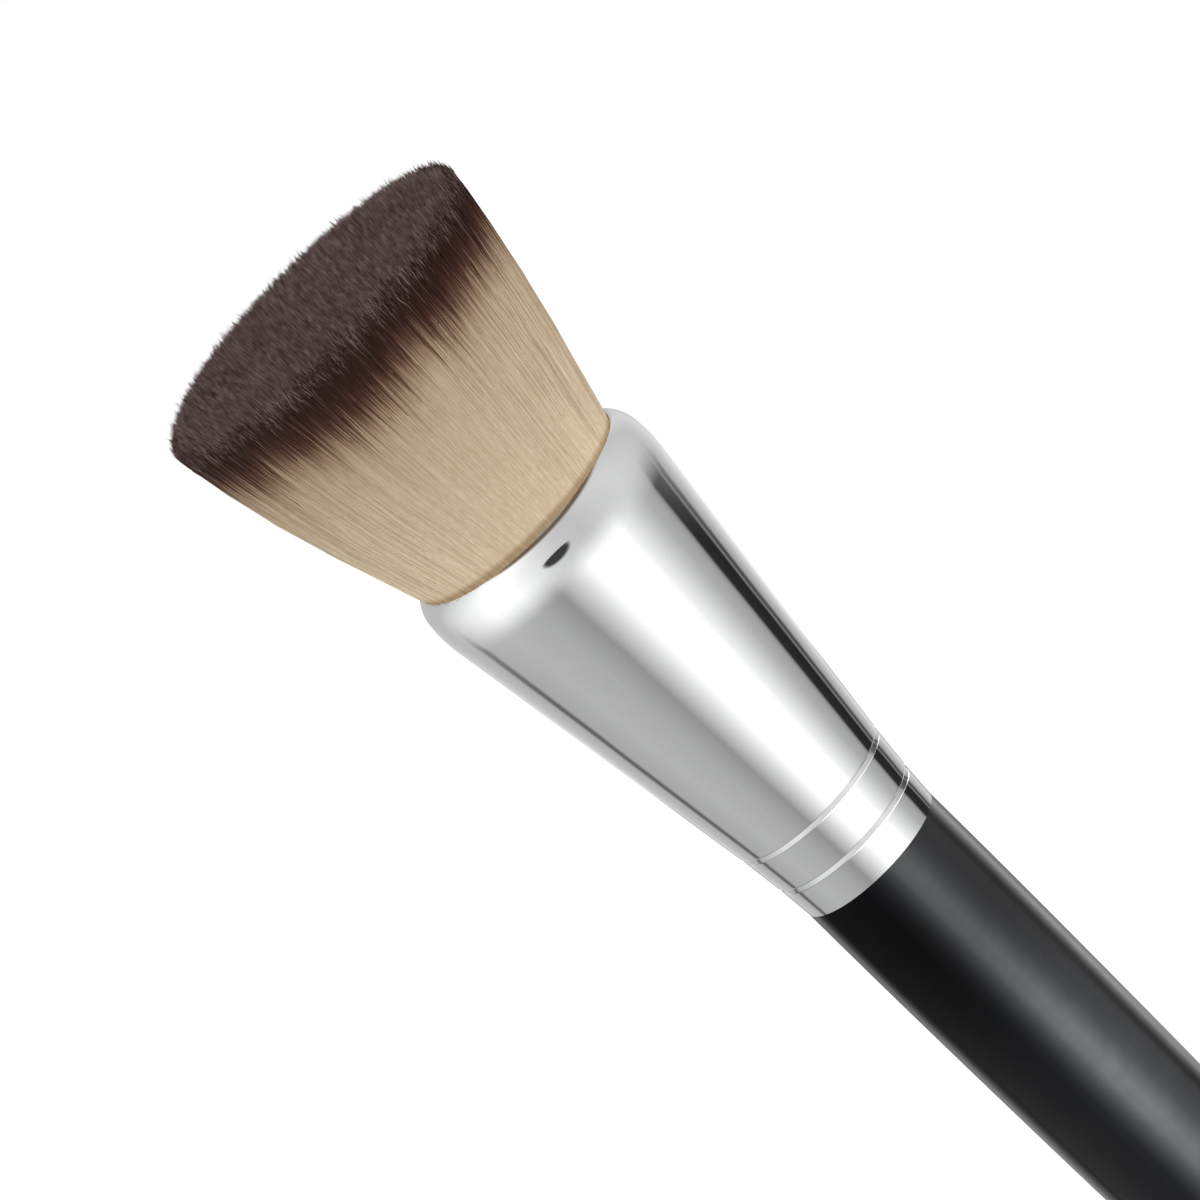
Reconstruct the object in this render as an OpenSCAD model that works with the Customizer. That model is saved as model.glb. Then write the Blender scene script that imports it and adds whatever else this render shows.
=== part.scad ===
// A flat-top kabuki makeup brush. A dense tuft of fine filaments is set in a drawn and chromed
// metal ferrule, which is crimped and glued onto the tenon of a turned, lacquered wooden handle.
// The brush's axis is Z, the bristles point up and the origin is the end of the handle.
// All sizes are in millimetres.

/* [Handle] */
// Length of the handle below the ferrule
handle_len = 116; // [80:1:160]
// Diameter of the handle where the ferrule ends
handle_d = 13; // [9:0.1:16]
// Length of the straight stretch below the ferrule
grip_len = 5; // [3:0.5:20]
// Diameter of the handle where its rounded end begins
tail_d = 8.4; // [5:0.1:9]
// Length of the rounded end
nose_len = 5; // [2:0.5:10]
// How late the taper gathers pace, from 1 for a plain cone
taper_power = 1.6; // [1:0.1:3]
// Thickness of the lacquer on the wood
lacquer_t = 0.2; // [0.1:0.05:0.4]
// Length of the tenon inside the ferrule
tenon_len = 11; // [8:0.5:14]
// Chamfer round the end of the tenon
tenon_chamfer = 0.6; // [0.1:0.1:1.5]
// Room for adhesive round the tenon at the end of the ferrule
glue_gap = 0.15; // [0.05:0.05:0.4]

/* [Ferrule] */
// Length of the ferrule
ferrule_len = 38.8; // [34:0.1:60]
// Widest diameter of the ferrule, at its shoulder
ferrule_d = 22.3; // [19:0.1:30]
// Thickness of the drawn metal
wall = 0.45; // [0.3:0.05:0.7]
// Radius of the shoulder in profile
shoulder_r = 3.7; // [3:0.1:9]
// How far the mouth turns in from the widest radius
turn_in = 1.2; // [1:0.05:2]
// Inside radius of the rolled edge of the mouth
lip_r = 0.1; // [0.05:0.05:0.25]
// How much the radius grows from the end of the ferrule to the lower crimp
band_flare = 0.15; // [0:0.05:0.5]
// How much the radius grows from the lower crimp to the upper one
skirt_flare = 0.45; // [0.2:0.05:1.2]
// Height of the lower crimp line above the end of the ferrule
crimp_low = 2.65; // [1.5:0.05:4]
// Height of the upper crimp line above the end of the ferrule
crimp_high = 6.4; // [5:0.1:7.5]
// Width of a crimp line
crimp_w = 0.45; // [0.3:0.05:0.8]
// Depth of a crimp line
crimp_depth = 0.12; // [0.05:0.01:0.2]

/* [Root of the tuft] */
// Depth of the packed root below the mouth
root_depth = 9; // [6:0.5:11]
// Clearance between the packed root and the metal
root_gap = 0.1; // [0.05:0.01:0.3]
// How far inside the mouth's edge the bristles rise
mouth_gap = 0.35; // [0.1:0.05:0.6]
// Height of the thread binding above the tenon
binding_rise = 2.5; // [1:0.5:4]
// Width of the thread binding
binding_w = 3; // [1:0.5:5]
// Thickness of the thread binding
binding_t = 0.6; // [0.3:0.1:1]

/* [Bristles] */
// Length of the bristles above the mouth
tuft_len = 22.8; // [14:0.1:40]
// Diameter of the flat top
tuft_d = 30.4; // [24:0.1:40]
// How far the side of the tuft bows out of the straight line from mouth to top
tuft_bow = 0.6; // [0:0.1:1.5]
// How far the outermost tips lie below the flat top, because its edge is rounded
edge_drop = 1.6; // [0:0.1:3]
// Strands across the tuft, so that their number is the square of this
strands = 18; // [18:1:22]
// Width of a strand as a share of the room that it has
strand_fill = 0.8; // [0.5:0.01:0.9]
// Width of a strand's tip as a share of the strand's width
tip_share = 0.85; // [0.4:0.01:1]
// How far a strand wanders, as a share of the free room in its cell
wander = 0.8; // [0:0.1:1]
// How much the tips differ in height
tip_step = 0.4; // [0:0.1:1.5]

/* [Hidden] */
$fn = 96;

handle_r = handle_d / 2;
tail_r = tail_d / 2;
// Height at which the handle's taper ends and its straight stretch begins
taper_top = handle_len - grip_len;
// The taper is drawn with this many steps, and each arc with as many as its own count
taper_steps = 16;
arc_steps = 8;

ferrule_r = ferrule_d / 2;
mouth_r = ferrule_r - turn_in;
tenon_r = handle_r - wall - glue_gap;
lip_out = wall + lip_r;
// Angle above level at which the shoulder's arc passes into the rolled lip
lip_angle = acos((shoulder_r - turn_in) / (shoulder_r - lip_out));
lip_middle = [mouth_r, ferrule_len - lip_out];
shoulder_middle = lip_middle - (shoulder_r - lip_out) * [cos(lip_angle), sin(lip_angle)];
// The cone leaves the upper crimp so that it runs tangent into the shoulder
waist_r = handle_r + band_flare + skirt_flare;
to_shoulder = shoulder_middle - [waist_r, crimp_high];
cone_angle = atan2(to_shoulder[0], to_shoulder[1]) + asin(shoulder_r / norm(to_shoulder));

binding_low = tenon_len + binding_rise;
binding_high = binding_low + binding_w;
root_low = ferrule_len - root_depth;
root_high = ferrule_len - wall;
root_r = mouth_r - mouth_gap;
// Each strand's own tip height and the way that it leans, the same every time
tip_drops = rands(0, tip_step, strands * strands, 11);
lean_x = rands(-wander, wander, strands * strands, 23);
lean_y = rands(-wander, wander, strands * strands, 37);
// Share of the tuft's height at which a strand bends, and how sharply the tips fall at the edge
knee = 0.4;
edge_power = 10;
// Corners of a square cell, counter-clockwise from above
corners = [[-1, -1], [1, -1], [1, 1], [-1, 1]];
sides = [0, 1, 2, 3];

function reversed(list) = [for (i = [len(list) - 1:-1:0]) list[i]];
function arc(middle, radius, from, to) =
    [for (s = [0:arc_steps])
        let (a = from + (to - from) * s / arc_steps)
        middle + radius * [cos(a), sin(a)]];

// Radius of the handle at a height: a taper that gathers pace towards the tail
function handle_at(z) =
    handle_r - (handle_r - tail_r) * pow((taper_top - z) / (taper_top - nose_len), taper_power);

// Outline of the handle from its tip to the ferrule, drawn in by the inset
function handle_outline(inset) = concat(
    [for (a = [0:10:80]) [(tail_r - inset) * sin(a), nose_len - (nose_len - inset) * cos(a)]],
    [for (s = [0:taper_steps])
        let (z = nose_len + (taper_top - nose_len) * s / taper_steps)
        [handle_at(z) - inset, z]],
    [[handle_r - inset, handle_len]]
);

// Outer radius of the ferrule's skirt and cone at a height above its end, crimps left out
function skirt_at(z) =
    z < crimp_low ? handle_r + band_flare * z / crimp_low :
    z < crimp_high ? handle_r + band_flare + skirt_flare * (z - crimp_low) / (crimp_high - crimp_low) :
    waist_r + (z - crimp_high) * tan(cone_angle);
// Radius at a depth under the cone's outer face
function under_cone(z, depth) = skirt_at(z) - depth / cos(cone_angle);
// A rolled-in crimp line, on the face at a depth below the outer one
function crimp(height, depth) =
    [for (t = [-1:0.5:1])
        let (z = height + t * crimp_w / 2)
        [under_cone(z, depth) - crimp_depth * (1 + cos(180 * t)) / 2, z]];
// Outline of the ferrule from its end to its mouth, at a depth below the outer face
function ferrule_outline(depth) = concat(
    [[under_cone(0, depth), 0]],
    crimp(crimp_low, depth),
    crimp(crimp_high, depth),
    arc(shoulder_middle, shoulder_r - depth, -cone_angle, lip_angle),
    arc(lip_middle, lip_out - depth, lip_angle, 90)
);

// A point of the square from -1 to 1, drawn onto the disc so that square rings become round ones
function on_disc(a, b) =
    abs(a) > abs(b) ? a * [cos(45 * b / a), sin(45 * b / a)] :
    b == 0 ? [0, 0] :
    b * [cos(90 - 45 * a / b), sin(90 - 45 * a / b)];
// A corner of the cell of strand i, j, drawn in to a share of the cell and moved about in its room
function cell_corner(i, j, corner, share, lean = [0, 0]) = let (
    spot = corner * share + lean * (1 - share)
) on_disc((2 * i + 1 + spot[0]) / strands - 1, (2 * j + 1 + spot[1]) / strands - 1);
// Radius of the tuft's side at a share of its height, bowed out of the straight line
function tuft_at(u) = root_r + (tuft_d / 2 - root_r) * u + 4 * tuft_bow * u * (1 - u);
// Radius of the outer cells whose strands, at a share of the cell, reach out to the tuft's side
function cells_at(u, share) = tuft_at(u) / (1 - (1 - share) / strands);
// How far below the flat top the tip of strand i, j lies, mostly at the rounded edge
function tip_below(i, j) = let (
    out = max(abs(2 * i + 1 - strands), abs(2 * j + 1 - strands)) / strands
) edge_drop * pow(out, edge_power) + tip_drops[i * strands + j];
// Point t of the round edge of the root, where the outer cells' corners lie
function rim_corner(t) = let (
    f = t % strands,
    side = floor(t / strands),
    spot = side == 0 ? [f, 0] : side == 1 ? [strands, f] :
        side == 2 ? [strands - f, strands] : [0, strands - f]
) on_disc(2 * spot[0] / strands - 1, 2 * spot[1] / strands - 1);
function lifted(p, radius, z) = [p[0] * radius, p[1] * radius, z];

// Filament bundle: one closed solid, a packed root and a four-sided strand on each of its cells
module bristles() {
    tip_fill = strand_fill * tip_share;
    // Each level is a height and a radius, and a strand's has its share of the cell and how it leans
    strand_levels = [
        [root_high, root_r, strand_fill, [0, 0], [0, 0]],
        [ferrule_len + knee * tuft_len, cells_at(knee, strand_fill), strand_fill, [0, -1], [1, 0]],
        [ferrule_len + tuft_len, cells_at(1, tip_fill), tip_fill, [1, 0], [0, 1]]
    ];
    root_levels = [
        [root_low, under_cone(root_low, wall) - root_gap],
        [shoulder_middle[1], ferrule_r - wall - root_gap],
        [root_high, root_r]
    ];
    last = len(strand_levels) - 1;
    per_strand = 4 * (last + 2);
    rim_first = strands * strands * per_strand;
    rim = 4 * strands;
    strand_points = [
        for (i = [0:strands - 1], j = [0:strands - 1]) each concat(
            [for (c = corners) lifted(cell_corner(i, j, c, 1), root_r, root_high)],
            [for (l = [0:last], c = corners)
                let (
                    level = strand_levels[l],
                    n = i * strands + j,
                    lean = level[3] * lean_x[n] + level[4] * lean_y[n],
                    drop = l == last ? tip_below(i, j) : 0
                )
                lifted(cell_corner(i, j, c, level[2], lean), level[1], level[0] - drop)]
        )
    ];
    strand_faces = [
        for (n = [0:strands * strands - 1]) let (b = n * per_strand, t = b + per_strand - 4) each concat(
            [for (k = sides) let (m = (k + 1) % 4)
                each [[b + 4 + k, b + 4 + m, b + m], [b + 4 + k, b + m, b + k]]],
            [for (l = [1:last], k = sides) let (q = b + 4 * l, m = (k + 1) % 4)
                each [[q + k, q + 4 + k, q + 4 + m], [q + k, q + 4 + m, q + m]]],
            [[t, t + 3, t + 2], [t, t + 2, t + 1]]
        )
    ];
    rim_points = [for (level = root_levels, t = [0:rim - 1]) lifted(rim_corner(t), level[1], level[0])];
    rim_faces = [
        for (l = [0:len(root_levels) - 2], k = [0:rim - 1])
            let (q = rim_first + l * rim, m = (k + 1) % rim)
            each [[q + k, q + rim + k, q + rim + m], [q + k, q + rim + m, q + m]]
    ];
    foot = rim_first + len(root_levels) * rim;
    foot_faces = [for (k = [0:rim - 1]) [foot, rim_first + k, rim_first + (k + 1) % rim]];
    color([0.76, 0.68, 0.55])
        translate([0, 0, handle_len])
            polyhedron(
                concat(strand_points, rim_points, [[0, 0, root_low]]),
                concat(strand_faces, rim_faces, foot_faces)
            );
}

// Thread wound round the bundle's root, in a groove of the resin
module binding_thread() {
    color("ivory")
        translate([0, 0, handle_len])
            rotate_extrude()
                polygon([
                    [under_cone(binding_low, wall), binding_low],
                    [under_cone(binding_high, wall), binding_high],
                    [under_cone(binding_high, wall + binding_t), binding_high],
                    [under_cone(binding_low, wall + binding_t), binding_low]
                ]);
}

// Resin that the root is set in, cast against the ferrule and the tenon
module resin_plug() {
    color([0.80, 0.66, 0.38])
        translate([0, 0, handle_len])
            rotate_extrude()
                polygon([
                    [0, tenon_len],
                    [under_cone(tenon_len, wall), tenon_len],
                    [under_cone(binding_low, wall), binding_low],
                    [under_cone(binding_low, wall + binding_t), binding_low],
                    [under_cone(binding_high, wall + binding_t), binding_high],
                    [under_cone(binding_high, wall), binding_high],
                    [under_cone(root_low, wall), root_low],
                    [0, root_low]
                ]);
}

// Drawn shell: a skirt with two crimp lines, a cone, a shoulder and a mouth that turns in
module ferrule() {
    color([0.82, 0.83, 0.85])
        translate([0, 0, handle_len])
            rotate_extrude()
                polygon(concat(ferrule_outline(0), reversed(ferrule_outline(wall))));
}

// Adhesive that fills the wedge between the straight tenon and the flaring ferrule
module tenon_adhesive() {
    color([0.93, 0.90, 0.80])
        translate([0, 0, handle_len])
            rotate_extrude()
                intersection() {
                    polygon(concat(ferrule_outline(wall), [[tenon_r, ferrule_len], [tenon_r, 0]]));
                    square([ferrule_r, tenon_len]);
                }
}

// Turned wooden handle with the tenon that the ferrule is fixed to
module handle_core() {
    tenon_top = handle_len + tenon_len;
    color("burlywood")
        rotate_extrude()
            polygon(concat(
                handle_outline(lacquer_t),
                [
                    [tenon_r, handle_len],
                    [tenon_r, tenon_top - tenon_chamfer],
                    [tenon_r - tenon_chamfer, tenon_top],
                    [0, tenon_top]
                ]
            ));
}

// Black gloss lacquer over the whole outside of the handle
module lacquer_coat() {
    color([0.06, 0.06, 0.07])
        rotate_extrude()
            polygon(concat(handle_outline(0), reversed(handle_outline(lacquer_t))));
}

bristles();
binding_thread();
resin_plug();
ferrule();
tenon_adhesive();
handle_core();
lacquer_coat();
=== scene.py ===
import math

import bmesh
import bpy
import numpy as np
from mathutils import Matrix, Vector
from mathutils.kdtree import KDTree


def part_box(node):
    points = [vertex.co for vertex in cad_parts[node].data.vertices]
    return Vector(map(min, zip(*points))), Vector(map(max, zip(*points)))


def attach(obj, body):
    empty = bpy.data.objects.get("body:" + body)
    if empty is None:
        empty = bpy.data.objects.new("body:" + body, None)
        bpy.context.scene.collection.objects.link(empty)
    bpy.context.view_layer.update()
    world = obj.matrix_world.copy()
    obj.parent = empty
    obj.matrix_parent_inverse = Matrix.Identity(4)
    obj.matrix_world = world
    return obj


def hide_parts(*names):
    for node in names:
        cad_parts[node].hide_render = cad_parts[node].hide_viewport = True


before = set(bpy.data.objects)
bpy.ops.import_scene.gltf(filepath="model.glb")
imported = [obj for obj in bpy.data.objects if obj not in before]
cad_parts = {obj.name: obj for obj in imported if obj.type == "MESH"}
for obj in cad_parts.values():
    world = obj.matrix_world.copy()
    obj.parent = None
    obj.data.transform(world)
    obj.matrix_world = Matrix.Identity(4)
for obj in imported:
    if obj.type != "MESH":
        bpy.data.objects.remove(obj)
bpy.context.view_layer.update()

# The bristles: tens of thousands of crimped synthetic filaments, blond with ends dyed dark brown.
# They stand dense in the ferrule's mouth, flare, and are cut to a flat top with a rounded edge.
# Whole filaments in four layers make the side, upper ends make the top, and a mass fills it.
MM = 0.001
BODY = "root"
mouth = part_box("ferrule")[1].z / MM
TUFT_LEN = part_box("bristles")[1].z / MM - mouth
TUFT_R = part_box("bristles")[1].x / MM
# The side runs from the root to the top in a slight bow, and the filaments start below the mouth
ROOT_R = 9.56
TOP_R = 0.98 * TUFT_R
BOW = 0.60
ROOT_DEPTH = 1.8
# The tuft stands a little aside in the mouth, and leans on from there to its middle and its top
ROOT_SHIFT = np.array((-0.17, -0.58))
MID_LEAN = np.array((-0.13, 0))
TOP_LEAN = np.array((-0.19, 0.36))
# At the back the root is fuller, so that it fills the mouth there too
BACK_FILL = 0.55
# The cut top drops at its rounded edge, and is lower on its left and at its back
EDGE_DROP = 0.9
EDGE_START = 0.84
LEFT_DROP = 0.60
BACK_DROP = 0.14
chance = np.random.default_rng(11)


def add(tree, kind, inputs=None, **settings):
    """Adds a shader node, with its settings, its plain values and its links."""
    made = tree.nodes.new("ShaderNode" + kind)
    for key, value in settings.items():
        setattr(made, key, value)
    for key, value in (inputs or {}).items():
        if isinstance(value, bpy.types.NodeSocket):
            tree.links.new(value, made.inputs[key])
        else:
            made.inputs[key].default_value = value
    return made


def maths(tree, operation, a, b=0.5, c=0.5):
    """A sum or another operation on up to three values."""
    return add(tree, "Math", {0: a, 1: b, 2: c}, operation=operation).outputs[0]


def eased(tree, value, low, high, at_low=0, at_high=1):
    """Goes smoothly from one value to another while the value given goes from low to high."""
    return add(
        tree, "MapRange", {0: value, 1: low, 2: high, 3: at_low, 4: at_high},
        interpolation_type="SMOOTHSTEP",
    ).outputs[0]


def noise(tree, place, scale, detail, roughness=0.5):
    """Uneven light and dark, finer with a larger scale."""
    return add(
        tree, "TexNoise",
        {"Vector": place, "Scale": scale, "Detail": detail, "Roughness": roughness},
    ).outputs["Fac"]


def drawn_out(tree, place, share):
    """A place whose height counts for less, which draws a pattern out along the brush."""
    return add(tree, "Mapping", {"Vector": place, "Scale": (1, 1, share)}).outputs[0]


def paint(red, green, blue):
    """A colour given as a painter reads it off a screen, from 0 to 255."""
    return tuple(((c / 255 + 0.055) / 1.055) ** 2.4 for c in (red, green, blue)) + (1,)


def ramp(tree, factor, stops):
    """A colour ramp over a factor, from (place, colour) stops."""
    made = add(tree, "ValToRGB", {"Fac": factor})
    bands = made.color_ramp.elements
    while len(bands) < len(stops):
        bands.new(0.5)
    for band, (place, colour) in zip(bands, stops):
        band.position, band.color = place, colour
    return made.outputs["Color"]


def mix(tree, share, first, second, kind="MIX"):
    """One colour laid over another by a share, or multiplied with it."""
    return add(
        tree, "Mix", {0: share, 6: first, 7: second}, data_type="RGBA", blend_type=kind
    ).outputs[2]


def new_finish(name):
    """A new material, its node tree, its shader and the place on the brush that it reads."""
    made = bpy.data.materials.new(name)
    made.use_nodes = True
    place = add(made.node_tree, "TexCoord").outputs["Object"]
    return made, made.node_tree, made.node_tree.nodes["Principled BSDF"], place


def add_bump(tree, shader, height, strength, distance, **more):
    """Gives a finish fine relief from a pattern."""
    bump = add(tree, "Bump", {"Height": height, "Strength": strength, "Distance": distance, **more})
    tree.links.new(bump.outputs[0], shader.inputs["Normal"])


filament, tree, shader, place = new_finish("crimped_filament")
height = add(tree, "SeparateXYZ", {0: place}).outputs["Z"]
dip, shade, end = (
    add(tree, "Attribute", attribute_name=title).outputs["Fac"] for title in ("dip", "shade", "end")
)
facing = add(tree, "Attribute", attribute_name="facing").outputs["Vector"]
grain = noise(tree, drawn_out(tree, place, 0.12), 5200, 3, 0.6)
clumps = noise(tree, drawn_out(tree, place, 0.1), 3000, 2)
# The dye is laid on by the depth under the flat top, as a share of the tuft's height
depth = maths(tree, "MULTIPLY_ADD", height, -1 / MM, mouth + TUFT_LEN)
depth = maths(tree, "SUBTRACT", depth, dip)
depth = maths(tree, "DIVIDE", depth, TUFT_LEN)
dyed = ramp(tree, depth, [
    (0.00, paint(44, 27, 22)),
    (0.05, paint(33, 15, 7)),
    (0.12, paint(36, 16, 8)),
    (0.185, paint(48, 26, 17)),
    (0.235, paint(80, 55, 43)),
    (0.30, paint(129, 107, 86)),
    (0.38, paint(158, 140, 115)),
    (0.49, paint(166, 148, 123)),
    (0.67, paint(174, 156, 131)),
    (1.00, paint(186, 168, 142)),
])
# Dyed ends differ in darkness more than the blond parts do
spread = add(tree, "MapRange", {0: depth, 1: 0.15, 2: 0.38, 3: 1.1, 4: 0.2}).outputs[0]
mixed = maths(tree, "MULTIPLY_ADD", shade, 0.6, maths(tree, "MULTIPLY", clumps, 0.8))
tone = maths(tree, "MULTIPLY_ADD", maths(tree, "SUBTRACT", mixed, 0.7), spread, 1.0)
tone = maths(tree, "MULTIPLY", tone, maths(tree, "MULTIPLY_ADD", grain, 0.50, 0.75))
# Painted shade at the roots: they are darkened in the mouth and for a little above it
ROOT_SHADE_H = 0.6
root_shade = eased(tree, height, mouth * MM, (mouth + ROOT_SHADE_H) * MM, 0.55, 1)
tone = maths(tree, "MULTIPLY", tone, root_shade)
# Darker filaments are warmer too
warm = add(tree, "CombineColor", {
    0: maths(tree, "POWER", tone, 0.8), 1: tone, 2: maths(tree, "POWER", tone, 1.25),
}).outputs[0]
toned = mix(tree, 1, dyed, warm, "MULTIPLY")
# The cut ends are frayed and paler; part of this paleness is painted light, on the tips at the far
# side and on the higher tufts of the top
frayed_and_lit = maths(tree, "MULTIPLY", end, maths(tree, "MULTIPLY_ADD", mixed, 0.45, 0.25))
coloured = mix(tree, frayed_and_lit, toned, paint(145, 126, 124))
# Painted glow: the filaments give off a little warm light of their own, standing in for light that
# wanders between them, which lifts their shadows; their base colour is darkened and cooled to match
for socket, tint in (
    ("Base Color", (0.53, 0.56, 0.61, 1)),
    ("Emission Color", (1.04, 0.99, 0.93, 1)),
):
    tree.links.new(mix(tree, 1, coloured, tint, "MULTIPLY"), shader.inputs[socket])
shader.inputs["Emission Strength"].default_value = 0.72
tree.links.new(maths(tree, "MULTIPLY_ADD", grain, 0.2, 0.42), shader.inputs["Roughness"])
shader.inputs["Specular IOR Level"].default_value = 0.16
# Each filament is so fine that light falls on it much as on the tuft it stands in
own = add(tree, "NewGeometry").outputs["Normal"]
softer = add(
    tree, "Mix", {0: 0.80, 4: own, 5: facing}, data_type="VECTOR", factor_mode="UNIFORM"
).outputs[1]
softer = add(tree, "VectorMath", {0: softer}, operation="NORMALIZE").outputs[0]
add_bump(tree, shader, grain, 0.2, 0.00002, Normal=softer)


def side_of_tuft(rise):
    """Radius of the tuft's side, in millimetres, at a share of its height above the mouth."""
    rise = np.clip(rise, 0, 1)
    return ROOT_R + (TOP_R - ROOT_R) * rise + 4 * BOW * rise * (1 - rise)


def shift_of_tuft(rise):
    """How far the tuft stands aside, at shares of its height above the mouth."""
    rise = np.clip(rise, 0, 1)[..., None]
    return ROOT_SHIFT + TOP_LEAN * rise + 4 * MID_LEAN * rise * (1 - rise)


def around_axis(radius, turn):
    """Places at radii and turns round the brush's axis."""
    return np.stack([radius * np.cos(turn), radius * np.sin(turn)], axis=-1)


def raised(places, heights):
    """Paths in millimetres, from places seen from above and their heights over the mouth."""
    return np.concatenate([places, (mouth + heights)[:, :, None]], axis=2)


def ripple(turn, cycles):
    """An uneven wave round the tuft, from about -1 to 1, made of whole numbers of cycles."""
    swells = [np.sin(count * turn + chance.uniform(0, 2 * math.pi)) for count in cycles]
    return sum(swells) / math.sqrt(len(cycles))


def new_object(name, data):
    """A new object in the scene."""
    made = bpy.data.objects.new(name, data)
    bpy.context.scene.collection.objects.link(made)
    return made


def new_piece(name, mesh, finish, node):
    """Shows a mesh as a piece of the brush that takes the place of a CAD node."""
    piece = new_object(name, mesh)
    mesh.materials.clear()
    mesh.materials.append(finish)
    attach(piece, BODY)
    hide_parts(node)


def mesh_of_curve(name, curve):
    """The mesh that a curve draws."""
    drawn = new_object(name, curve)
    mesh = bpy.data.meshes.new_from_object(
        drawn.evaluated_get(bpy.context.evaluated_depsgraph_get())
    )
    bpy.data.objects.remove(drawn)
    return mesh


STRAND_SIDES = 3
section = bpy.data.curves.new("strand_section", "CURVE")
spline = section.splines.new("POLY")
spline.points.add(STRAND_SIDES - 1)
for corner, point in enumerate(spline.points):
    angle = -corner * 2 * math.pi / STRAND_SIDES
    point.co = (math.cos(angle), math.sin(angle), 0, 1)
spline.use_cyclic_u = True
section_shape = new_object("strand_section", section)


def strands(name, paths, radii, dip, shade, end, facing, columns):
    """Draws three-sided strands, pointed at both ends, along paths of equal counts of points."""
    count, levels = paths.shape[:2]
    curve = bpy.data.curves.new(name, "CURVE")
    curve.dimensions = "3D"
    curve.bevel_mode, curve.bevel_object = "OBJECT", section_shape
    points = np.concatenate([paths * MM, np.ones((count, levels, 1))], axis=2)
    for path, radius in zip(points, radii * MM):
        spline = curve.splines.new("POLY")
        spline.points.add(levels - 1)
        spline.points.foreach_set("co", path.ravel())
        spline.points.foreach_set("radius", radius)
    mesh = mesh_of_curve(name, curve)
    mesh.shade_flat()
    per_strand = STRAND_SIDES * levels
    if len(mesh.vertices) != count * per_strand:
        raise ValueError(f"{name} has {len(mesh.vertices)} vertices, not {count * per_strand}")
    strand, spot = np.divmod(np.arange(count * per_strand), per_strand)
    ring, corner = np.divmod(spot, STRAND_SIDES)
    for title, values in (
        ("dip", dip[strand]),
        ("shade", np.clip(shade, 0, 1)[strand]),
        ("end", np.clip(end, 0, 1)[strand, ring]),
    ):
        mesh.attributes.new(title, "FLOAT", "POINT").data.foreach_set("value", values)
    way = mesh.attributes.new("facing", "FLOAT_VECTOR", "POINT")
    way.data.foreach_set("vector", facing[strand].ravel())
    # Each strand has its own cell of the map, with its length upwards and a margin round it
    rows = math.ceil(count / columns)
    vertex = np.zeros(len(mesh.loops), dtype=np.int32)
    mesh.loops.foreach_get("vertex_index", vertex)
    across = (strand[vertex] % columns + 0.1 + 0.4 * corner[vertex]) / columns
    along = (strand[vertex] // columns + 0.08 + 0.84 * ring[vertex] / (levels - 1)) / rows
    while mesh.uv_layers:
        mesh.uv_layers.remove(mesh.uv_layers[0])
    cells = mesh.uv_layers.new(name="OFBake")
    cells.data.foreach_set("uv", np.stack([across, along], axis=1).ravel())
    # The point at each end is still a ring of doubled corners
    bm = bmesh.new()
    bm.from_mesh(mesh)
    bmesh.ops.remove_doubles(bm, verts=bm.verts, dist=1e-8)
    bm.to_mesh(mesh)
    bm.free()
    new_piece(name, mesh, filament, "bristles")


def edge_drop(share, turn):
    """How much lower the cut top is towards its rounded edge, at a place in the tuft."""
    rounded = EDGE_DROP * np.clip((share - EDGE_START) / (1 - EDGE_START), 0, 1.1) ** 2
    left, back = np.clip(-np.cos(turn), 0, 1) ** 4, np.clip(np.sin(turn), 0, 1) ** 2
    return rounded + share * (LEFT_DROP * left + BACK_DROP * back)


EDGE_CYCLES = ((97, 139, 173, 211, 251, 283), (89, 127, 167, 199, 241, 293))
late_by = chance.uniform(0, 2 * math.pi, (2, 6))


def ragged(turn, kind=0):
    """How the edge of the cut top runs in and out round the tuft, the same for every layer."""
    swells = (np.sin(count * turn + late) for count, late in zip(EDGE_CYCLES[kind], late_by[kind]))
    return sum(swells) / 2.2


# A filament on the side has a point at each of these shares of its length
SIDE_LEVELS = np.array([0, 0.05, 0.22, 0.42, 0.62, 0.82, 0.94, 0.975, 1])
SIDE_WIDTHS = np.array([0, 1, 1, 1, 1, 1, 1, 0.7, 0])
SIDE_DYED = np.array([1, 1, 1, 1, 1, 1, 0.8, 0.32, 0])
SIDE_COLUMNS = 110


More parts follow.
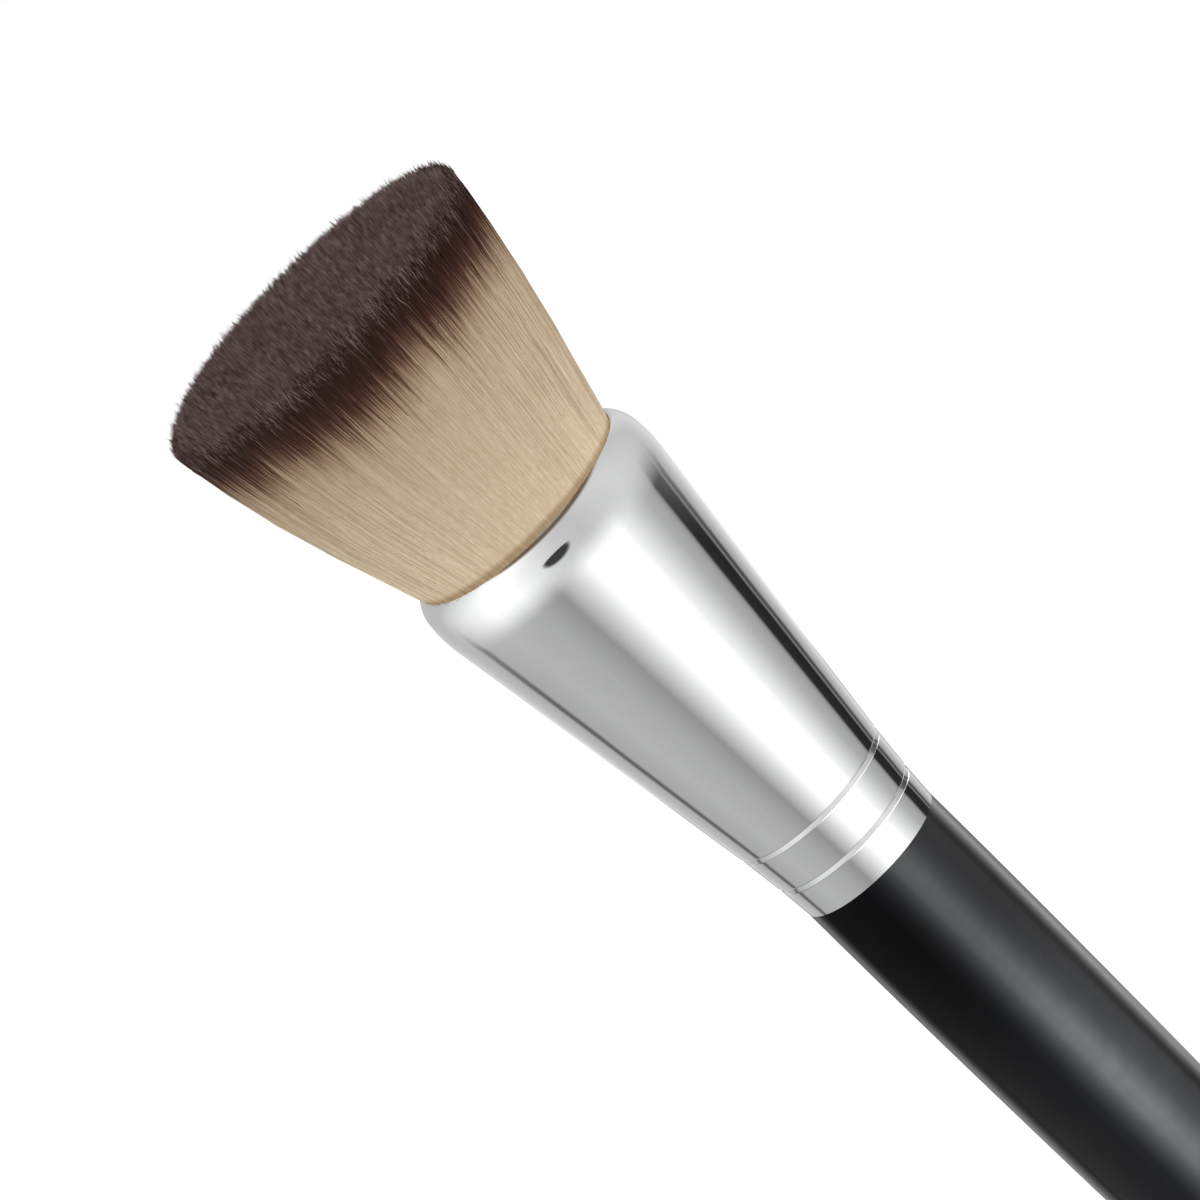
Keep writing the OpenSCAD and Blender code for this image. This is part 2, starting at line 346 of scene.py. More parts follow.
def side_layer(name, count, nearest, farthest):
    """One layer of whole filaments on the side of the tuft, between two shares of its radius."""
    turn = 2 * math.pi * (np.arange(count) + chance.uniform(-0.8, 0.8, count)) / count
    # They weave in and out among each other, but less where the mouth holds them
    share = chance.uniform(nearest, farthest, count)
    weave = chance.normal(0, 0.004, (count, len(SIDE_LEVELS)))
    weave[:, :2] *= 0.3
    share = np.minimum(share[:, None] + weave, 1.005)
    # Their tips end at uneven heights, and less so at the back
    notched = (0.16 - 0.09 * np.sin(turn)) * ragged(turn)
    drop = edge_drop(share[:, -1], turn) + notched + chance.normal(0.2, 0.25, count)
    tip = TUFT_LEN - np.maximum(drop, -0.1)
    heights = -ROOT_DEPTH + (tip[:, None] + ROOT_DEPTH) * SIDE_LEVELS
    rise = np.clip(heights / TUFT_LEN, 0, None)
    at_back = np.clip(np.sin(turn), 0, 1)
    fuller = BACK_FILL * at_back[:, None] * np.clip(1 - rise, 0, 1) ** 2
    radius = share * side_of_tuft(rise) + fuller
    lean = 0.14 * ripple(turn, (61, 89, 113, 151)) + chance.normal(0, 0.33, count)
    sway = chance.normal(0, 0.10, (count, len(SIDE_LEVELS))).cumsum(axis=1)
    turned = turn[:, None] + (lean[:, None] * rise ** 1.3 + sway * rise) / radius
    places = around_axis(radius, turned) + shift_of_tuft(rise)
    width = chance.uniform(0.036, 0.060, count)[:, None]
    # Where the dye stops runs up and down round the tuft, in broad waves and in clumps
    clump = ripple(turn, (83, 97, 131, 173, 211))
    dip = 0.5 * ripple(turn, (3, 5, 8, 13, 19)) + 0.7 * clump
    dip = dip + chance.exponential(0.5, count) - 0.4
    shade = 0.5 + 0.15 * ragged(turn, 1) + chance.normal(0, 0.2, count)
    # Painted backlight: the ends at the far side are made paler, as tips seen against the white
    # behind them
    pale = 0.25 + 0.3 * at_back + 0.45 * ragged(turn, 1) + chance.normal(0, 0.28, count)
    end = np.clip(pale, 0, 1)[:, None] - SIDE_DYED
    facing = np.column_stack([around_axis(1, turn), np.full(count, 0.1)])
    radii = width * SIDE_WIDTHS
    strands(name, raised(places, heights), radii, dip, shade, end, facing, SIDE_COLUMNS)


# The tips of the flat top gather in small tufts of uneven height
TUFTS = 9000
tuft_middles = KDTree(TUFTS)
for index in range(TUFTS):
    angle, part = chance.uniform(0, 2 * math.pi), math.sqrt(chance.uniform(0, 1))
    tuft_middles.insert((part * math.cos(angle), part * math.sin(angle), 0), index)
tuft_middles.balance()
tuft_heights = chance.normal(0, 1, TUFTS)

# An upper end is this long, and has a point at each of these shares of its length
TIP_LEN = 4.2
TIP_LEVELS = np.array([0, 0.3, 0.76, 1])
TIP_WIDTHS = np.array([0, 1, 0.85, 0])
TIP_SWAY = np.array([0, 0.3, 0.8, 1])
TIP_GATHER = np.array([0, 0.1, 0.3, 0.45])
TIP_PALE = np.array([0, 0, 0.35, 1])
TIP_COLUMNS = 130


def top_layer(name, count):
    """The upper ends of the filaments inside the tuft, whose tips make its flat top."""
    turn = chance.uniform(0, 2 * math.pi, count)
    share = 0.985 * np.sqrt(chance.uniform(0, 1, count))
    across = around_axis(share, turn)
    nearest = [tuft_middles.find((x, y, 0))[:2] for x, y in across]
    middles = np.array([middle[:2] for middle, _ in nearest])
    uneven = tuft_heights[[index for _, index in nearest]]
    near_edge = np.clip((share - 0.78) / 0.2, 0, 1)
    drop = edge_drop(share, turn) + 0.25 * near_edge * ragged(turn) + 0.09 * uneven
    drop += np.abs(chance.normal(0, 0.14 + 0.14 * near_edge)) + 0.15
    tip = TUFT_LEN - np.maximum(drop, -0.25)
    foot = TUFT_LEN - TIP_LEN
    heights = foot + (tip[:, None] - foot) * TIP_LEVELS
    sway = chance.normal(0, 0.07, (count, 1, 2)) * TIP_SWAY[:, None]
    gathered = across[:, None, :] + (middles - across)[:, None, :] * TIP_GATHER[:, None]
    rise = heights / TUFT_LEN
    places = gathered * side_of_tuft(rise)[:, :, None] + sway + shift_of_tuft(rise)
    width = chance.uniform(0.034, 0.060, count)[:, None]
    facing = np.tile((0.0, -0.3, 0.9), (count, 1))
    dip = chance.normal(0, 0.5, count)
    # Painted shade and light: tufts that stand lower are darker and less pale, higher ones lighter
    # and paler; the rest is random tone
    shade = 0.5 - 0.2 * uneven + chance.normal(0, 0.17, count)
    pale = 0.34 + 0.40 * near_edge * (ragged(turn, 1) + 0.4) - 0.16 * uneven
    pale = pale + chance.normal(0, 0.2, count)
    end = np.clip(pale, 0, 1)[:, None] * TIP_PALE
    radii = width * TIP_WIDTHS
    strands(name, raised(places, heights), radii, dip, shade, end, facing, TIP_COLUMNS)


side_layer("bristle_side_outer", 4500, 0.992, 1.0)
side_layer("bristle_side_second", 4500, 0.984, 0.992)
side_layer("bristle_side_third", 4500, 0.974, 0.984)
side_layer("bristle_side_inner", 4500, 0.960, 0.974)
top_layer("bristle_tips_a", 14000)
top_layer("bristle_tips_b", 14000)
top_layer("bristle_tips_c", 14000)

# The strays: a few filaments that stand off the tuft because their crimp pushes them out.
# They are the same stuff as the rest, blond nearly to the tip.
STRAYS = 30
STRAY_R = 0.032
STRAY_WIDTHS = (0, 1, 1, 1, 1, 0.8, 0)
UNDYED = -3.5
STRAY_COLUMNS = 6
turn = chance.uniform(0, 2 * math.pi, STRAYS)
tip = TUFT_LEN - chance.uniform(0.3, 4, STRAYS)
heights = (tip[:, None] + ROOT_DEPTH) * np.linspace(0, 1, len(STRAY_WIDTHS)) - ROOT_DEPTH
rise = np.clip(heights / TUFT_LEN, 0, 1)
radius = side_of_tuft(rise) + chance.uniform(0.12, 0.42, STRAYS)[:, None] * rise ** 1.4
turned = turn[:, None] + chance.normal(0, 0.04, STRAYS)[:, None] * rise
strands(
    "bristle_strays", raised(around_axis(radius, turned) + shift_of_tuft(rise), heights),
    STRAY_R * np.tile(STRAY_WIDTHS, (STRAYS, 1)), np.full(STRAYS, UNDYED), np.ones(STRAYS),
    np.zeros(heights.shape), np.column_stack([around_axis(1, turn), np.zeros(STRAYS)]),
    STRAY_COLUMNS,
)
bpy.data.objects.remove(section_shape)

# The inside of the tuft: the rest of the filaments, packed so close that they read as one mass.
# It is turned in one piece, fills the mouth, and ends under the tips of the flat top.
MASS_SHARE = 0.94
MASS_TOP = 0.86
MASS_FOOT_R = 9.70
MASS_FOOT_TOP = 0.25
MASS_BEVEL_IN = 0.4
MASS_BEVEL_UP = 0.3
MASS_SHADE = 0.6
# Turned pieces show an edge as sharp where it bends by more than this
SHARP_EDGE = math.radians(35)


def lathe(outline, steps):
    """Spins an outline of radii and heights round the brush's axis into a closed mesh."""
    bm = bmesh.new()
    points = [bm.verts.new((radius * MM, 0, height * MM)) for radius, height in outline]
    edges = [bm.edges.new(pair) for pair in zip(points, points[1:])]
    if outline[0][0] > 0:
        edges.append(bm.edges.new((points[-1], points[0])))
    bmesh.ops.spin(
        bm, geom=points + edges, cent=(0, 0, 0), axis=(0, 0, 1),
        angle=2 * math.pi, steps=steps, use_merge=True,
    )
    bmesh.ops.remove_doubles(bm, verts=bm.verts, dist=1e-7)
    bmesh.ops.recalc_face_normals(bm, faces=bm.faces)
    for face in bm.faces:
        face.smooth = True
    for edge in bm.edges:
        edge.smooth = edge.calc_face_angle(0) < SHARP_EDGE
    mesh = bpy.data.meshes.new("turned")
    bm.to_mesh(mesh)
    bm.free()
    return mesh


mass_foot = [
    (0, mouth - ROOT_DEPTH), (MASS_FOOT_R, mouth - ROOT_DEPTH),
    (MASS_FOOT_R, mouth - MASS_FOOT_TOP),
]
mass_side = [
    (MASS_SHARE * side_of_tuft(rise), mouth + rise * TUFT_LEN)
    for rise in np.linspace(0, MASS_TOP, 20)
]
top_r, top_height = mass_side[-1]
lid_height = top_height + MASS_BEVEL_UP
mass_lid = [(top_r - MASS_BEVEL_IN, lid_height), (0, lid_height)]
mass_mesh = lathe(mass_foot + mass_side + mass_lid, 96)
mass_mesh.transform(Matrix.Translation((ROOT_SHIFT[0] * MM, ROOT_SHIFT[1] / 2 * MM, 0)))
mass_mesh.attributes.new("shade", "FLOAT", "POINT").data.foreach_set(
    "value", np.full(len(mass_mesh.vertices), MASS_SHADE)
)
new_piece("bristle_mass", mass_mesh, filament, "bristles")

# The binding: cotton thread wound tightly round the root of the bundle, in two layers of turns.
# It holds the filaments together until the resin has set, and stays inside the ferrule.
BINDING_LOW = 13.5
BINDING_W = 3
THREAD_D = 0.3
TURNS = 10
STEPS_A_TURN = 36
# The thread lies in a groove that narrows downwards with the ferrule
GROOVE_INSET = 0.35
GROOVE_TAPER = 0.42
ferrule_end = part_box("ferrule")[0].z / MM
binding_r = (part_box("binding_thread")[1].x / MM) - GROOVE_INSET

wound = bpy.data.curves.new("binding", "CURVE")
wound.dimensions = "3D"
wound.bevel_depth = THREAD_D / 2 * MM
wound.bevel_resolution = 1
wound.use_fill_caps = True
spline = wound.splines.new("POLY")
steps = 2 * TURNS * STEPS_A_TURN
spline.points.add(steps)
for step, point in enumerate(spline.points):
    layer, share = divmod(2 * step / steps, 1) if step < steps else (1, 1)
    climb = share if layer == 0 else 1 - share
    radius = binding_r - GROOVE_TAPER * (1 - climb) - (THREAD_D * 0.9 if layer else 0)
    angle = 2 * math.pi * 2 * TURNS * step / steps
    rise = ferrule_end + BINDING_LOW + THREAD_D / 2 + climb * (BINDING_W - THREAD_D)
    point.co = (radius * MM * math.cos(angle), radius * MM * math.sin(angle), rise * MM, 1)
thread_mesh = mesh_of_curve("binding", wound)
thread_mesh.shade_smooth()


def colour_by(tree, shader, factor, *stops):
    """Colours a finish by a ramp over a factor."""
    tree.links.new(ramp(tree, factor, stops), shader.inputs["Base Color"])


cotton, tree, shader, place = new_finish("waxed_cotton")
fibre = noise(tree, place, 6000, 4)
colour_by(tree, shader, fibre, (0.3, paint(214, 204, 178)), (0.7, paint(242, 236, 218)))
shader.inputs["Roughness"].default_value = 0.7
add_bump(tree, shader, fibre, 0.5, 0.00003)
new_piece("binding_winding", thread_mesh, cotton, "binding_thread")

# The resin: poured round the root of the bundle inside the ferrule, where it sets hard and clear.
# Nothing of it shows on the finished brush.
resin, tree, shader, place = new_finish("amber_resin")
cloud = noise(tree, place, 260, 3)
colour_by(tree, shader, cloud, (0.3, paint(168, 122, 54)), (0.7, paint(206, 168, 96)))
tree.links.new(maths(tree, "MULTIPLY_ADD", cloud, 0.15, 0.12), shader.inputs["Roughness"])
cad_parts["resin_plug"].material_slots[0].material = resin

# The ferrule: one shell drawn from thin metal, polished and chromed.
# Its skirt is crimped onto the handle in two lines, its cone widens to a round shoulder,
# and its mouth turns in to a rolled edge that presses on the bristles.
HANDLE_R = 6.5
BAND_R = HANDLE_R + 0.19
WAIST_R = HANDLE_R + 0.60
FERRULE_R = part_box("ferrule")[1].x / MM
WALL = 0.45
SHOULDER_R = 3.7
TURN_IN = 1.45
LIP = 0.55
# The radius changes at each crimp, whose groove lies a little higher: a long flank, a short one
CRIMPS = (2.65, 6.4)
CRIMP_SHIFT = 0.46
CRIMP_BELOW = 0.38
CRIMP_ABOVE = 0.15
CRIMP_DEPTH = 0.13
EASE_R = 12
EASE_END = math.radians(6)
length = mouth - ferrule_end


def aimed(angle):
    """A way of length 1 at an angle above level."""
    return Vector((math.cos(angle), math.sin(angle)))


lip_angle = math.acos((SHOULDER_R - TURN_IN) / (SHOULDER_R - LIP))
lip_middle = Vector((FERRULE_R - TURN_IN, length - LIP))
shoulder_middle = lip_middle - (SHOULDER_R - LIP) * aimed(lip_angle)
reach = shoulder_middle - Vector((WAIST_R, CRIMPS[1]))
cone_angle = math.atan2(reach.x, reach.y) + math.asin(SHOULDER_R / reach.length)
grooves = [crimp + CRIMP_SHIFT for crimp in CRIMPS]


def run_of_arc(start, stop):
    """Way along an arc of radius 1 between two angles of its normal."""
    return np.array((math.cos(stop) - math.cos(start), math.sin(stop) - math.sin(start)))


# The cone eases into the shoulder by a wider arc that meets the same lip
whole = SHOULDER_R * run_of_arc(-cone_angle, lip_angle)
whole = whole - EASE_R * run_of_arc(-cone_angle, EASE_END)
ends = np.stack([run_of_arc(EASE_END, lip_angle), (-math.sin(cone_angle), -math.cos(cone_angle))])
tight_r, eased_off = map(float, np.linalg.solve(ends.T, whole))


def face_of_skirt(rise, depth):
    """Radius of the skirt and the cone at a height above the ferrule's end, under its face."""
    radius = float(np.interp(rise, (0,) + CRIMPS, (HANDLE_R, BAND_R, WAIST_R)))
    radius += max(0, rise - CRIMPS[1]) * math.tan(cone_angle)
    for groove in grooves:
        away = abs(rise - groove) / (CRIMP_BELOW if rise < groove else CRIMP_ABOVE)
        if away < 1:
            rounded = (1 + math.cos(math.pi * away)) / 2
            radius -= CRIMP_DEPTH * (1 - away if rise < groove else rounded)
    return radius - depth / math.cos(cone_angle)


def arc(middle, radius, start, stop, steps):
    """Points of an arc between two angles of its normal."""
    angles = np.linspace(start, stop, steps + 1)
    return [(middle.x + radius * math.cos(a), middle.y + radius * math.sin(a)) for a in angles]


def face_of_ferrule(depth):
    """Outline of the ferrule from its end to its mouth, at a depth under its face."""
    across, along = math.cos(cone_angle), -math.sin(cone_angle)
    tangent = shoulder_middle + SHOULDER_R * Vector((across, along))
    start = tangent - eased_off * Vector((-along, across))
    wide_middle = start - EASE_R * Vector((across, along))
    tight_middle = wide_middle + (EASE_R - tight_r) * aimed(EASE_END)
    wide = arc(wide_middle, EASE_R - depth, -cone_angle, EASE_END, 24)
    # The skirt has its points close together in each groove
    rises = [0, 0.06, 0.3, 0.9, 1.5, 2.0]
    for groove, plain in zip(grooves, ((0.5, 1.2, 2.2, 2.8), ())):
        rises += [groove + CRIMP_BELOW * t for t in np.linspace(-1.15, 0, 12)]
        rises += [groove + CRIMP_ABOVE * t for t in np.linspace(0.15, 1.3, 10)]
        rises += [groove + t for t in plain]
    rises += list(np.linspace(grooves[1] + 0.5, wide[0][1] - 0.3, 24))
    outline = [(face_of_skirt(rise, depth), rise) for rise in rises] + wide
    outline += arc(tight_middle, tight_r - depth, EASE_END, lip_angle, 24)[1:]
    outline += arc(lip_middle, LIP - depth, lip_angle, math.pi / 2, 12)[1:]
    return [(radius, ferrule_end + rise) for radius, rise in outline]


chrome, tree, shader, place = new_finish("polished_chrome")
wave = noise(tree, place, 90, 1)
scuff = noise(tree, place, 2600, 4)
shader.inputs["Metallic"].default_value = 1
colour_by(tree, shader, scuff, (0.3, paint(231, 232, 233)), (0.7, paint(234, 234, 235)))
tree.links.new(maths(tree, "MULTIPLY_ADD", scuff, 0.03, 0.04), shader.inputs["Roughness"])
add_bump(tree, shader, wave, 0.02, 0.0004)
shell = face_of_ferrule(0) + face_of_ferrule(WALL)[::-1]
new_piece("ferrule_shell", lathe(shell, 192), chrome, "ferrule")

# The adhesive: fills the wedge between the handle's tenon and the flaring skirt of the ferrule.
# It is cream coloured and slightly soft, and hidden once the brush is together.
adhesive, tree, shader, place = new_finish("cream_adhesive")
mottle = noise(tree, place, 700, 2)
colour_by(tree, shader, mottle, (0.3, paint(226, 216, 190)), (0.7, paint(240, 233, 212)))
shader.inputs["Roughness"].default_value = 0.45
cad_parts["tenon_adhesive"].material_slots[0].material = adhesive

# The handle's core: a stick of pale hardwood, turned with a tenon at one end.
# Its grain runs along the brush under the lacquer.
wood, tree, shader, place = new_finish("turned_hardwood")
along = drawn_out(tree, place, 0.06)
rings = add(
    tree, "TexWave", {"Vector": along, "Scale": 180, "Distortion": 6, "Detail": 3}
).outputs["Fac"]
pores = noise(tree, along, 3000, 2)
grain = maths(tree, "MULTIPLY_ADD", pores, 0.35, maths(tree, "MULTIPLY", rings, 0.65))
colour_by(tree, shader, grain, (0.15, paint(166, 122, 76)), (0.8, paint(214, 178, 128)))
shader.inputs["Roughness"].default_value = 0.6
add_bump(tree, shader, pores, 0.3, 0.0001)
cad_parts["handle_core"].material_slots[0].material = wood

# The lacquer: several dipped coats of gloss black over the whole handle, rubbed and buffed.
# It ends where the ferrule's skirt is crimped on.
TAIL_R = 4.2
NOSE = 5
STRAIGHT = 5
TAPER_POWER = 1.6
LACQUER = 0.2
taper_top = ferrule_end - STRAIGHT


def face_of_handle(inset):
    """Outline of the handle from its round end to the ferrule, drawn in by an inset."""
    outline = [
        ((TAIL_R - inset) * math.sin(a), NOSE - (NOSE - inset) * math.cos(a))
        for a in np.radians(np.linspace(0, 90, 25))
    ]
    for rise in np.linspace(NOSE, taper_top, 71)[1:]:
        late = ((taper_top - rise) / (taper_top - NOSE)) ** TAPER_POWER
        outline.append((HANDLE_R - (HANDLE_R - TAIL_R) * late - inset, rise))
    straight = np.linspace(taper_top, ferrule_end, 5)[1:]
    return outline + [(HANDLE_R - inset, rise) for rise in straight]


lacquer, tree, shader, place = new_finish("black_lacquer")
orange_peel = noise(tree, place, 420, 2)
haze = noise(tree, place, 60, 4)
colour_by(tree, shader, haze, (0.3, paint(1, 1, 2)), (0.7, paint(3, 4, 6)))
tree.links.new(maths(tree, "MULTIPLY_ADD", haze, 0.04, 0.17), shader.inputs["Roughness"])
# Painted reflection: the coat's specular level is low near the ferrule and rises down the handle,
# so that its highlight grows brighter towards the tail
REFLECTION_FADES_ABOVE = 0.111
REFLECTION_FULL_BELOW = 0.086
height = add(tree, "SeparateXYZ", {0: place}).outputs["Z"]
painted_reflection = eased(tree, height, REFLECTION_FADES_ABOVE, REFLECTION_FULL_BELOW, 0.15, 0.47)
tree.links.new(painted_reflection, shader.inputs["Specular IOR Level"])
shader.inputs["Specular Tint"].default_value = (0.94, 0.96, 1, 1)
add_bump(tree, shader, orange_peel, 0.04, 0.0002)
coat = face_of_handle(0) + face_of_handle(LACQUER)[::-1]
new_piece("lacquer_finish", lathe(coat, 128), lacquer, "lacquer_coat")

# The floor: wide, matt and white, so that it fades into the room and keeps the brush's shadow.
# It isn't mirrored, because the room is mirrored in its place.
FLOOR_HALF = 4.0
WHITE = (1, 1, 1, 1)
bm = bmesh.new()
bmesh.ops.create_grid(bm, x_segments=2, y_segments=2, size=FLOOR_HALF)
floor_mesh = bpy.data.meshes.new("floor")
bm.to_mesh(floor_mesh)
bm.free()
floor = new_object("floor", floor_mesh)
white, tree, shader, _ = new_finish("white_floor")
shader.inputs["Base Color"].default_value = WHITE
shader.inputs["Roughness"].default_value = 0.9
shader.inputs["Specular IOR Level"].default_value = 0
looked_at = add(tree, "LightPath").outputs["Is Camera Ray"]
shader.inputs["Emission Color"].default_value = WHITE
tree.links.new(maths(tree, "MULTIPLY", looked_at, 0.1), shader.inputs["Emission Strength"])
floor_mesh.materials.append(white)
floor.visible_glossy = False

# The room: white to the eye, and a soft light from all round.
# Polished pieces mirror a tall soft lamp to the right of the camera, grey walls and dark slits,
# with one run of walls low down and another one higher up.
AMBIENT = 0.80
BRIGHTEST = 14
LOW_ROOM = [
    (-180, 1.0), (-150, 0.62), (-129, 0.50), (-125, 0.15), (-121, 0.15), (-117, 0.47),
    (-84, 0.55), (-52, 0.50), (-34, 0.40), (-26, 0.35), (-17, 0.58), (-8, 0.80), (0, 1.03),
    (9, 1.3), (45, 1.35), (54, 1.07), (73, 0.69), (84, 0.52), (96, 0.43), (100, 0.36),
    (104, 0.03), (120, 0.02), (122, 0.22), (124, 0.24), (125, 0.08), (129, 0.08),
    (133, 0.42), (170, 1.0), (180, 1.0),
]
HIGH_ROOM = [
    (-180, 0.5), (-156, 0.5), (-146, 1.1), (-136, 0.5), (-127, 0.18), (-118, 0.1),
    (-88, 0.24), (-71, 0.22), (-41, 0.25), (-27, 0.7), (-13, 2.3), (0, 6.0), (10, 12.5),
    (28, 14.0), (40, 9.0), (56, 4.8), (71, 3.4), (90, 2.6), (112, 0.8), (124, 2.4),
    (137, 3.6), (147, 1.5), (156, 0.5), (180, 0.5),
]
CEILING = 0.28
GROUND = 0.45
# Degrees above level between which one part of the room gives way to the next
GROUND_ENDS = (-68, -52)
HIGH_ROOM_STARTS = (-18.8, -17.8)
HIGH_ROOM_ENDS = (-5, 5)
CEILING_STARTS = (58, 66)
world = bpy.data.worlds.new("studio")
bpy.context.scene.world = world
world.use_nodes = True
tree = world.node_tree
seen = add(tree, "LightPath")
way = add(tree, "SeparateXYZ", {0: add(tree, "TexCoord").outputs["Generated"]})


def bearing_of(tree, way):
    """Degrees to the right of the camera's side, from -180 to 180, of a direction or a place."""
    turn = maths(tree, "ARCTAN2", way.outputs["X"], maths(tree, "MULTIPLY", way.outputs["Y"], -1))
    return maths(tree, "DEGREES", turn)


def round_the_room(tree, bearing, stops):
    """How bright the room is all the way round, from a few (bearing, brightness) stops."""
    turn = maths(tree, "MULTIPLY_ADD", bearing, 1 / 360, 0.5)
    greys = [(place / 360 + 0.5, (bright / BRIGHTEST,) * 3 + (1,)) for place, bright in stops]
    return maths(tree, "MULTIPLY", ramp(tree, turn, greys), BRIGHTEST)


def blend(tree, share, first, second):
    """One value that gives way to another by a share."""
    return add(tree, "Mix", {0: share, 2: first, 3: second}, data_type="FLOAT").outputs[0]


level = maths(tree, "DEGREES", maths(tree, "ARCSINE", way.outputs["Z"]))
bearing = bearing_of(tree, way)
low_room = round_the_room(tree, bearing, LOW_ROOM)
high_room = round_the_room(tree, bearing, HIGH_ROOM)
bright = blend(tree, eased(tree, level, *HIGH_ROOM_STARTS), low_room, high_room)
bright = blend(tree, eased(tree, level, *HIGH_ROOM_ENDS), bright, low_room)
bright = blend(tree, eased(tree, level, *CEILING_STARTS), bright, CEILING)
bright = blend(tree, eased(tree, level, *GROUND_ENDS), GROUND, bright)
mirrored = add(tree, "Background", {"Color": WHITE, "Strength": bright}).outputs[0]
soft = add(tree, "Background", {"Color": WHITE, "Strength": AMBIENT}).outputs[0]
plain = add(tree, "Background", {"Color": WHITE, "Strength": 1}).outputs[0]
lit = add(tree, "MixShader", {0: seen.outputs["Is Glossy Ray"], 1: soft, 2: mirrored}).outputs[0]
for ray in ("Is Transmission Ray", "Is Camera Ray"):
    lit = add(tree, "MixShader", {0: seen.outputs[ray], 1: lit, 2: plain}).outputs[0]
tree.links.new(lit, tree.nodes["World Output"].inputs["Surface"])

# The collar: a ring of lit paper that hangs round the mouth of the ferrule.
# Only polished pieces mirror it, most of all the ferrule's round shoulder.
COLLAR_R = 0.08
COLLAR_LOW = 0.103
COLLAR_TOP = 0.294
COLLAR_GLOW = [
    (-180, 0.55), (-135, 0.60), (-75, 1.3), (-48, 1.25), (-31, 1.04), (-15, 0.84), (0, 0.70),
    (22, 0.64), (48, 0.74), (76, 0.78), (130, 0.64), (155, 0.78), (180, 0.55),
]
COLLAR_DIM = 0.17
# Heights between which the paper starts, comes out of the room's light, and turns dim
HEM = (0.103, 0.108)
FADE = (0.110, 0.144)
DIMMING = (0.228, 0.256)
NEARER_BY = 8
SPOT_GLOW = 0.05
SPOT_BEARING = -5
SPOT_RISE = 0.1475
SPOT_HALF_W = 13.5
SPOT_HALF_H = 0.006
bm = bmesh.new()
ring = bmesh.ops.create_circle(bm, segments=96, radius=COLLAR_R)["verts"]
bmesh.ops.translate(bm, verts=ring, vec=(0, 0, COLLAR_LOW))
drawn_up = bmesh.ops.extrude_edge_only(bm, edges=bm.edges[:])["geom"]
bmesh.ops.translate(
    bm, verts=[v for v in drawn_up if isinstance(v, bmesh.types.BMVert)],
    vec=(0, 0, COLLAR_TOP - COLLAR_LOW),
)
collar_mesh = bpy.data.meshes.new("collar")
bm.to_mesh(collar_mesh)
bm.free()
collar = new_object("collar", collar_mesh)
for ray in ("camera", "diffuse", "transmission", "volume_scatter", "shadow"):
    setattr(collar, "visible_" + ray, False)
paper = bpy.data.materials.new("lit_paper")
paper.use_nodes = True
tree = paper.node_tree
tree.nodes.clear()
place = add(tree, "SeparateXYZ", {0: add(tree, "TexCoord").outputs["Object"]})
rise = place.outputs["Z"]
# It hangs near, so a place on it is mirrored from a little further round
around = bearing_of(tree, place)
half_round = maths(tree, "RADIANS", maths(tree, "MULTIPLY", around, 0.5))
around = maths(tree, "MULTIPLY_ADD", maths(tree, "SINE", half_round), NEARER_BY, around)
# Its top is dim and warm, and its lower part fades into the room
top = eased(tree, rise, *DIMMING)
glow = blend(tree, top, round_the_room(tree, around, COLLAR_GLOW), COLLAR_DIM)
fading = round_the_room(tree, around, LOW_ROOM)
glow = blend(tree, eased(tree, rise, *FADE), fading, glow)
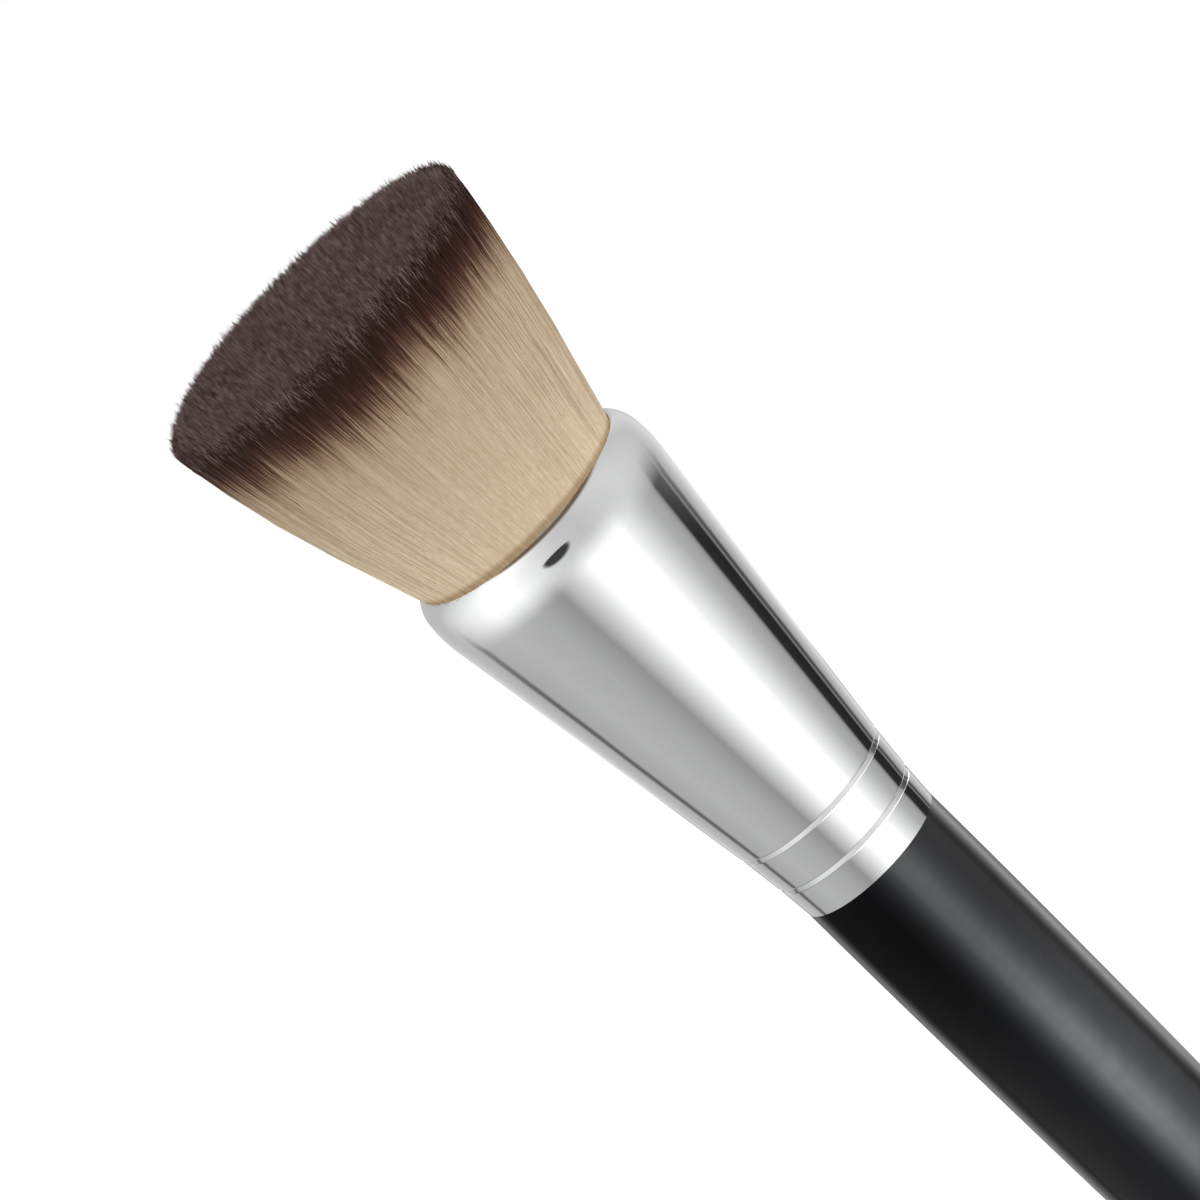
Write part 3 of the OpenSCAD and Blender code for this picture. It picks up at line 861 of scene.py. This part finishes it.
# The camera looks in through a slot, which mirrors as a small dark spot
aside = maths(tree, "DIVIDE", maths(tree, "SUBTRACT", around, SPOT_BEARING), SPOT_HALF_W)
higher = maths(tree, "DIVIDE", maths(tree, "SUBTRACT", rise, SPOT_RISE), SPOT_HALF_H)
aside, higher = (maths(tree, "ABSOLUTE", away) for away in (aside, higher))
far = maths(tree, "ADD", maths(tree, "POWER", aside, 2), maths(tree, "POWER", higher, 2))
glow = blend(tree, eased(tree, far, 0.6, 1.4), SPOT_GLOW, glow)
tinted = mix(tree, top, WHITE, paint(255, 225, 196))
lit_paper = add(tree, "Emission", {"Color": tinted, "Strength": glow}).outputs[0]
clear = add(tree, "BsdfTransparent").outputs[0]
hem = eased(tree, rise, *HEM)
hung = add(tree, "MixShader", {0: hem, 1: clear, 2: lit_paper}).outputs[0]
tree.links.new(hung, add(tree, "OutputMaterial").inputs["Surface"])
collar_mesh.materials.append(paper)

# The lamps: two large soft squares above the camera, a stronger one on its right.
# They shape the tuft and its shadow, and no polished piece mirrors them.
LIT_AT = Vector((0, 0, 0.13))


def soft_lamp(name, place, size, power):
    """A square lamp that faces the upper part of the brush."""
    data = bpy.data.lights.new(name, "AREA")
    data.shape, data.size, data.energy = "SQUARE", size, power
    lamp = new_object(name, data)
    lamp.location = place
    lamp.rotation_euler = (Vector(place) - LIT_AT).to_track_quat("Z", "Y").to_euler()
    lamp.visible_glossy = False


soft_lamp("key_lamp", (0.7, -0.6, 0.9), 0.7, 7)
soft_lamp("fill_lamp", (-0.8, -0.7, 0.6), 0.9, 3.5)

# The camera stands about a metre away and looks down on the brush, rolled so that the bristles
# point to the upper left of the picture. It aims beside the joint of ferrule and handle.
DISTANCE = 1.0
LOOKS_DOWN = math.radians(15.0)
ROLL = math.radians(44.5)
FRAME_W = 0.09085
AIM_LEFT = 0.020364
AIM_UP = 0.019157
right = Vector((1, 0, 0))
ahead = Vector((0, math.cos(LOOKS_DOWN), -math.sin(LOOKS_DOWN)))
upward = Vector((0, math.sin(LOOKS_DOWN), math.cos(LOOKS_DOWN)))
picture_right = right * math.sin(ROLL) - upward * math.cos(ROLL)
picture_up = upward * math.sin(ROLL) + right * math.cos(ROLL)
joint = Vector((0, 0, ferrule_end * MM))
aim = joint - AIM_LEFT * picture_right + AIM_UP * picture_up
lens = bpy.data.cameras.new("camera")
lens.sensor_width = 36
lens.lens = lens.sensor_width * DISTANCE / FRAME_W
lens.clip_start, lens.clip_end = 0.05, 30
camera = new_object("camera", lens)
turned = Matrix((picture_right, picture_up, -ahead)).transposed()
camera.matrix_world = Matrix.Translation(aim - ahead * DISTANCE) @ turned.to_4x4()
bpy.context.scene.camera = camera
bpy.context.scene.view_settings.view_transform = "Standard"
